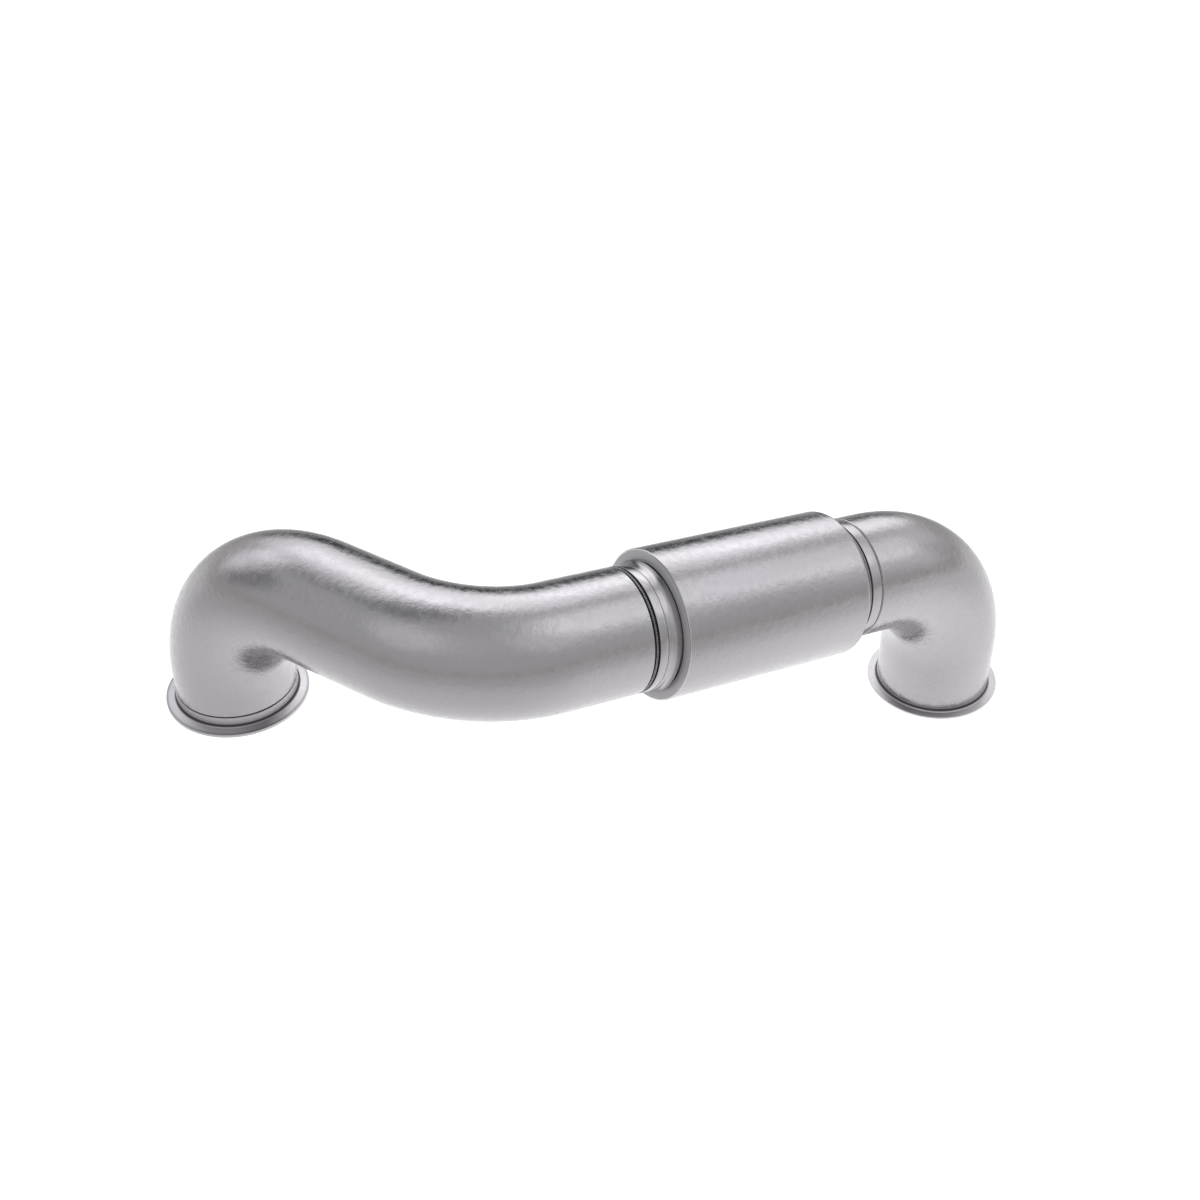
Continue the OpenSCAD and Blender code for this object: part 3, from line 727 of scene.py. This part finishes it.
def makeSoftbox():
    # One patch of light round a direction, fading out round its radius
    tree, given, out = shaderGroup("softbox", [
        ("Direction", "NodeSocketVector", None), ("Towards", "NodeSocketVector", None),
        ("Radius", "NodeSocketFloat", 20.0), ("Strength", "NodeSocketFloat", 1.0),
        ("Full", "NodeSocketFloat", 0.55), ("Gone", "NodeSocketFloat", 1.15)], [("Light", "NodeSocketFloat")])
    near = vectorCalc(tree, "DOT_PRODUCT", given.outputs["Direction"], given.outputs["Towards"])
    angle = calc(tree, "MULTIPLY", calc(tree, "ARCCOSINE", near), 180 / math.pi)
    share = calc(tree, "DIVIDE", angle, given.outputs["Radius"])
    mask = rangeMap(tree, share, given.outputs["Full"], given.outputs["Gone"], 1.0, 0.0)
    tree.links.new(calc(tree, "MULTIPLY", mask, given.outputs["Strength"]), out.inputs["Light"])
    return tree


softbox = makeSoftbox()
tentLight, tree, out = newMaterial("tentLight")
coords = addNode(tree, "ShaderNodeTexCoord").outputs["Object"]
direction = vectorCalc(tree, "NORMALIZE", vectorCalc(tree, "SUBTRACT", coords, tent["centre"]))
light = tent["level"]
for azimuth, elevation, radius, strength in softboxes:
    box = fill(tree, softbox, {"Direction": direction, "Towards": heading(azimuth, elevation),
                               "Radius": radius, "Strength": strength})
    light = calc(tree, "ADD", light, box.outputs[0])
light = calc(tree, "MAXIMUM", light, tent["darkest"])
# A dim warm line where the floor's paper ends below the softboxes
height = addNode(tree, "ShaderNodeSeparateXYZ", {0: direction}).outputs[2]
aside = calc(tree, "ABSOLUTE", calc(tree, "SUBTRACT", height, tent["line"]))
line = rangeMap(tree, aside, 0.0, tent["lineReach"], 1.0, 0.0)
light = calc(tree, "MULTIPLY", light, calc(tree, "SUBTRACT", 1.0, calc(tree, "MULTIPLY", line, tent["lineShare"])))
glow = addNode(tree, "ShaderNodeEmission", {"Color": mixed(tree, line, tent["skyTint"], tent["lineTint"]),
                                           "Strength": light})
tree.links.new(glow.outputs[0], out.inputs["Surface"])

tentR = tent["radius"] / mm
dome = (arc(0, 0, tentR, tent["foot"], 90, tent["steps"])
        + arc(0, 0, tentR + tent["shell"] / mm, 90, tent["foot"], tent["steps"]))
tentShape = turned("tent", dome, np.eye(4), tent["around"])
tentShape.data.transform(Matrix.Translation(tent["centre"]))
tentShape.data.materials.append(tentLight)
tentShape.visible_camera = False

# Floor: white paper to the camera, with the object's shadow on it. In the metal the paper is a pool of light
# round the pipe, stronger on one side, that darkens far behind it
paper = {"height": -0.35, "half": 14.0, "white": (0.8, 1.0), "whiteReach": (2.5, 5.0), "matt": (0.4, 0.4, 0.4, 1),
         "pool": (0.83, 0.45), "poolReach": (0.2, 2.2), "behind": (0.5, 1.9), "fan": (0.55, 0.95),
         "sideHeading": 52, "side": (-0.65, 0.3), "sideShare": (0.75, 1.17)}
floorPaper, tree, out = newMaterial("floorPaper")
path = addNode(tree, "ShaderNodeLightPath")
mirrored = calc(tree, "MAXIMUM", path.outputs["Is Glossy Ray"], path.outputs["Is Transmission Ray"])
spot = addNode(tree, "ShaderNodeTexCoord").outputs["Object"]
fromUnder = vectorCalc(tree, "SUBTRACT", spot, (*tent["centre"][:2], paper["height"]))
away = vectorCalc(tree, "LENGTH", fromUnder)
behind = vectorCalc(tree, "DOT_PRODUCT", fromUnder, level.cross(Vector((0, 0, -1))))
side = vectorCalc(tree, "DOT_PRODUCT", fromUnder, heading(paper["sideHeading"]))
fan = calc(tree, "MULTIPLY", rangeMap(tree, calc(tree, "DIVIDE", behind, away), *paper["fan"]),
           rangeMap(tree, away, *paper["behind"]))
pool = calc(tree, "MULTIPLY", rangeMap(tree, away, *paper["poolReach"], *paper["pool"]),
            calc(tree, "SUBTRACT", 1.0, fan))
pool = calc(tree, "MULTIPLY", pool, rangeMap(tree, side, *paper["side"], *paper["sideShare"]))
white = rangeMap(tree, away, *paper["whiteReach"], *paper["white"])
seen = calc(tree, "MAXIMUM", calc(tree, "MULTIPLY", path.outputs["Is Camera Ray"], white),
            calc(tree, "MULTIPLY", mirrored, pool))
glow = addNode(tree, "ShaderNodeEmission", {"Color": (1, 1, 1, 1), "Strength": seen})
matt = addNode(tree, "ShaderNodeBsdfDiffuse", {"Color": paper["matt"]})
both = addNode(tree, "ShaderNodeAddShader", {0: glow.outputs[0], 1: matt.outputs[0]})
tree.links.new(both.outputs[0], out.inputs["Surface"])

half = paper["half"]
floorMesh = bpy.data.meshes.new("floor")
floorMesh.from_pydata([(x * half, y * half, paper["height"]) for x, y in ((-1, -1), (1, -1), (1, 1), (-1, 1))],
                      [], [(0, 1, 2, 3)])
floorMesh.materials.append(floorPaper)
floor = bpy.data.objects.new("floor", floorMesh)
bpy.context.scene.collection.objects.link(floor)
for material in (tentLight, floorPaper):
    material.cycles.emission_sampling = "NONE"

world = bpy.data.worlds.new("world")
world.use_nodes = True
bpy.context.scene.world = world
world.node_tree.nodes["Background"].inputs["Color"].default_value = (1, 1, 1, 1)
bpy.context.scene.view_settings.view_transform = "Standard"
